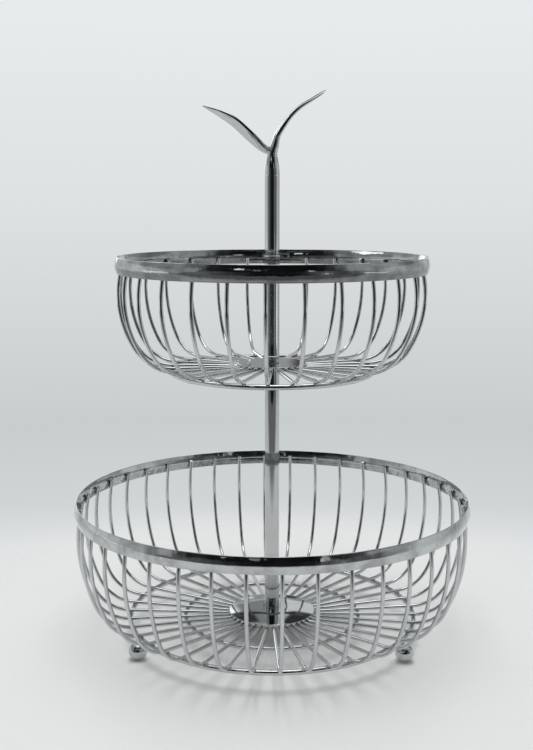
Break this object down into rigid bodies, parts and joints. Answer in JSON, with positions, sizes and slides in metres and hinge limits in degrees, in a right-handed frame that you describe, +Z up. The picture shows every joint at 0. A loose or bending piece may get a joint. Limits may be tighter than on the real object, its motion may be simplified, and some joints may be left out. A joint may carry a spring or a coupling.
{
  "type": "tiered wire basket",
  "caption": "Two-tier round wire basket on a centre post, with rolled rims, ball feet and a leaf-shaped screw-off handle.",
  "frame": {"origin": "on the ground, on the axis of the centre post, in the middle of the lower rim", "axes": "+Z up along the post, -Y the front that the picture shows, +X to the right seen from the front"},
  "size_m": [0.3, 0.3, 0.4121],
  "materials": {
    "chrome_wire": "polished",
    "chrome_band": "polished",
    "chrome_plate": "polished",
    "chrome_tube": "polished",
    "chrome_leaf": "polished",
    "zinc_steel": "satin"
  },
  "bodies": {
    "stand": {"lower_ribs_01": "chrome_wire", "lower_ribs_02": "chrome_wire", "lower_ribs_03": "chrome_wire", "lower_ribs_04": "chrome_wire", "lower_ribs_05": "chrome_wire", "lower_ribs_06": "chrome_wire", "lower_ribs_07": "chrome_wire", "lower_ribs_08": "chrome_wire", "lower_ribs_09": "chrome_wire", "lower_ribs_10": "chrome_wire", "lower_ribs_11": "chrome_wire", "lower_ribs_12": "chrome_wire", "lower_ribs_13": "chrome_wire", "lower_ribs_14": "chrome_wire", "lower_ribs_15": "chrome_wire", "lower_ribs_16": "chrome_wire", "lower_ribs_17": "chrome_wire", "lower_ribs_18": "chrome_wire", "lower_ribs_19": "chrome_wire", "lower_ribs_20": "chrome_wire", "lower_outer_ring": "chrome_wire", "lower_mid_ring": "chrome_wire", "lower_rim_band": "chrome_band", "lower_hub_disc": "chrome_plate", "lower_post": "chrome_tube", "upper_post": "chrome_tube", "foot_left": "chrome_tube", "foot_right": "chrome_tube", "foot_rear": "chrome_tube", "base_screw": "zinc_steel", "base_washer": "zinc_steel", "lower_post_foot_insert": "zinc_steel", "lower_post_top_insert": "zinc_steel", "tier_stud": "zinc_steel", "upper_post_foot_insert": "zinc_steel", "upper_post_top_insert": "zinc_steel"},
    "upper_basket": {"upper_rim_band": "chrome_band", "upper_outer_ring": "chrome_wire", "upper_hub_disc": "chrome_plate", "upper_ribs_01": "chrome_wire", "upper_ribs_02": "chrome_wire", "upper_ribs_03": "chrome_wire", "upper_ribs_04": "chrome_wire", "upper_ribs_05": "chrome_wire", "upper_ribs_06": "chrome_wire", "upper_ribs_07": "chrome_wire", "upper_ribs_08": "chrome_wire", "upper_ribs_09": "chrome_wire", "upper_ribs_10": "chrome_wire", "upper_ribs_11": "chrome_wire", "upper_ribs_12": "chrome_wire", "upper_ribs_13": "chrome_wire", "upper_ribs_14": "chrome_wire"},
    "handle_screw": {"handle_stud": "zinc_steel"},
    "handle": {"handle_insert": "zinc_steel", "handle_stem": "chrome_tube", "left_leaf": "chrome_leaf", "right_leaf": "chrome_leaf"}
  },
  "joints": [
    {"name": "upper_tier_swivel", "type": "hinge", "parent": "stand", "child": "upper_basket", "pos_m": [0, 0, 0.2119], "axis": [0, 0, 1], "continuous": true},
    {"name": "handle_rise", "type": "slide", "parent": "stand", "child": "handle_screw", "axis": [0, 0, 1], "range_m": [0, 0.0101]},
    {"name": "handle_turn", "type": "hinge", "parent": "handle_screw", "child": "handle", "pos_m": [0, 0, 0.2925], "axis": [0, 0, 1], "range_deg": [0, 3600]}
  ],
  "couplings": [
    {"joint": "handle_rise", "follows": "handle_turn", "m_per_rad": 0.00015915}
  ]
}
